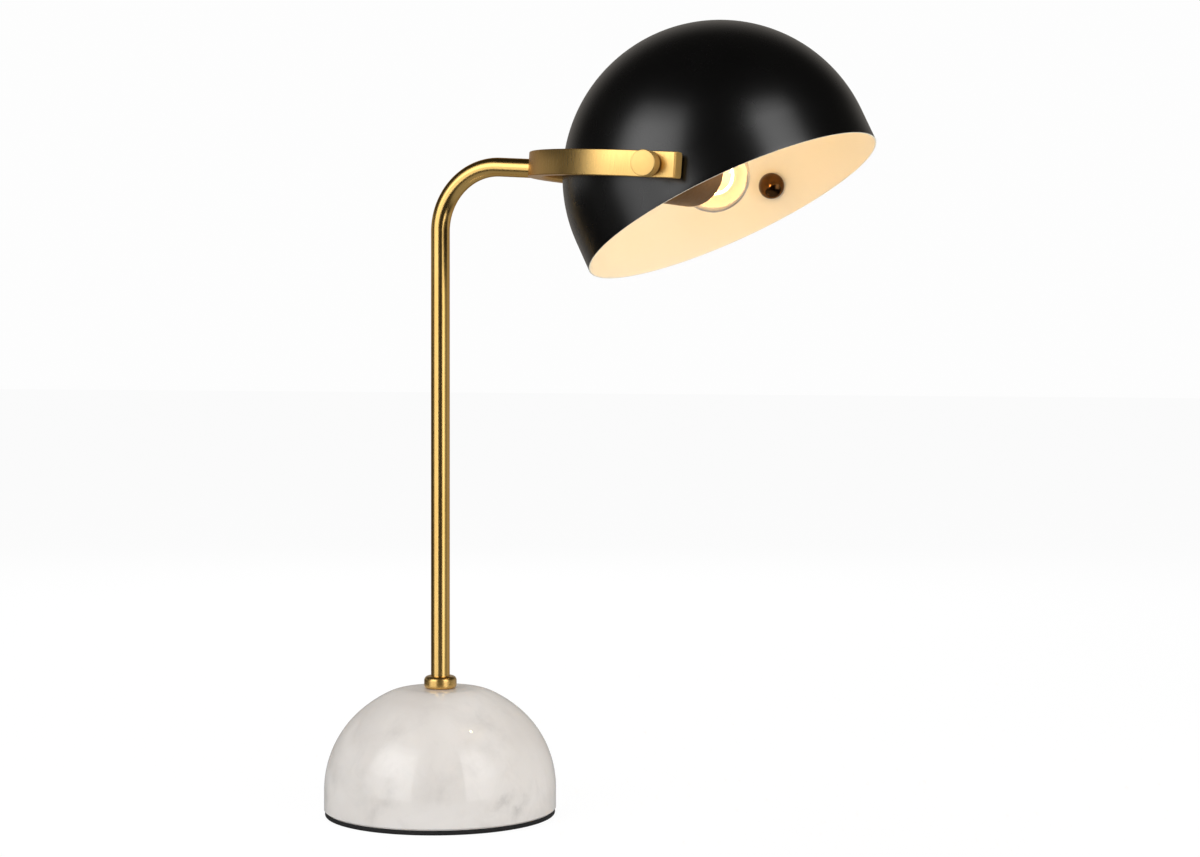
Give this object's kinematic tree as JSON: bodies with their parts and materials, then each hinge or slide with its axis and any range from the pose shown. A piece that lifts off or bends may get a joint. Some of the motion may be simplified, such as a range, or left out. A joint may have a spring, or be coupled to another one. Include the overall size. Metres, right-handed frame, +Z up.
{
  "type": "desk lamp",
  "caption": "Desk lamp: a dome shade that tilts in a U-shaped yoke on a bent stem, over a domed stone base, with a round bulb across the shade.",
  "frame": {"origin": "on the table, under the stem's axis, in the middle of the pad's underside", "axes": "+Z up along the stem; +X along the arm from the stem to the shade; -Y towards the side of the shade that carries the lampholder"},
  "size_m": [0.3603, 0.229, 0.4957],
  "materials": {
    "marble": "polished, off-white with faint grey veins",
    "pad": "matt black foam rubber",
    "steel": "zinc plated",
    "zinc_yellow": "yellow zinc plated threads",
    "black_rubber": "matt black",
    "brass": "satin, lacquered",
    "brass_brushed": "fine brushed, lacquered",
    "shade_paint": "satin black outside, cream white inside",
    "fibre": "vulcanised fibre",
    "bronze": "dark bronze, satin",
    "phenolic": "black phenolic",
    "ceramic": "unglazed porcelain",
    "contact_brass": "bright",
    "clear_glass": "clear",
    "lamp_cap": "nickel plated",
    "black_glass": "black glass",
    "lamp_wire": "drawn wire",
    "filament": "glowing"
  },
  "bodies": {
    "stand": {"base_marble": "marble", "base_pad": "pad", "clamp_plate": "steel", "base_rod": "zinc_yellow", "lock_washer": "steel", "base_nut": "steel", "inlet_bush": "black_rubber", "collar": "brass", "stem_tube": "brass", "yoke": "brass_brushed", "yoke_end_plates": "brass_brushed"},
    "shade": {"shade": "shade_paint", "friction_washers": "fibre", "near_pivot_tube": "zinc_yellow", "far_pivot_stud": "zinc_yellow", "seat_washers": "fibre", "cap_nut": "bronze", "socket_cup": "bronze", "socket_nut": "steel", "holder_end": "phenolic", "contact_block": "ceramic", "screw_shell": "contact_brass", "holder_sleeve": "phenolic", "centre_contact": "contact_brass", "terminal_screws": "contact_brass"},
    "bulb": {"bulb_glass": "clear_glass", "bulb_cap": "lamp_cap", "cap_insulator": "black_glass", "tip_contact": "lamp_cap", "bulb_mount": "clear_glass", "support_wires": "lamp_wire", "filament": "filament"},
    "near_knob": {"near_knob": "brass_brushed", "near_knob_washer": "black_rubber"},
    "far_knob": {"far_knob": "brass_brushed", "far_knob_washer": "black_rubber"}
  },
  "joints": [
    {"name": "shade_tilt", "type": "hinge", "parent": "stand", "child": "shade", "pos_m": [0.19153, 0, 0.40161], "axis": [0, -1, 0], "range_deg": [-71, 64]},
    {"name": "bulb_turn", "type": "hinge", "parent": "shade", "child": "bulb", "pos_m": [0.19153, 0, 0.40161], "axis": [0, 1, 0], "range_deg": [0, 1080]},
    {"name": "near_knob_turn", "type": "hinge", "parent": "shade", "child": "near_knob", "pos_m": [0.19153, -0.11, 0.40161], "axis": [0, -1, 0], "range_deg": [0, 360]},
    {"name": "far_knob_turn", "type": "hinge", "parent": "shade", "child": "far_knob", "pos_m": [0.19153, 0.11, 0.40161], "axis": [0, 1, 0], "range_deg": [0, 360]}
  ]
}
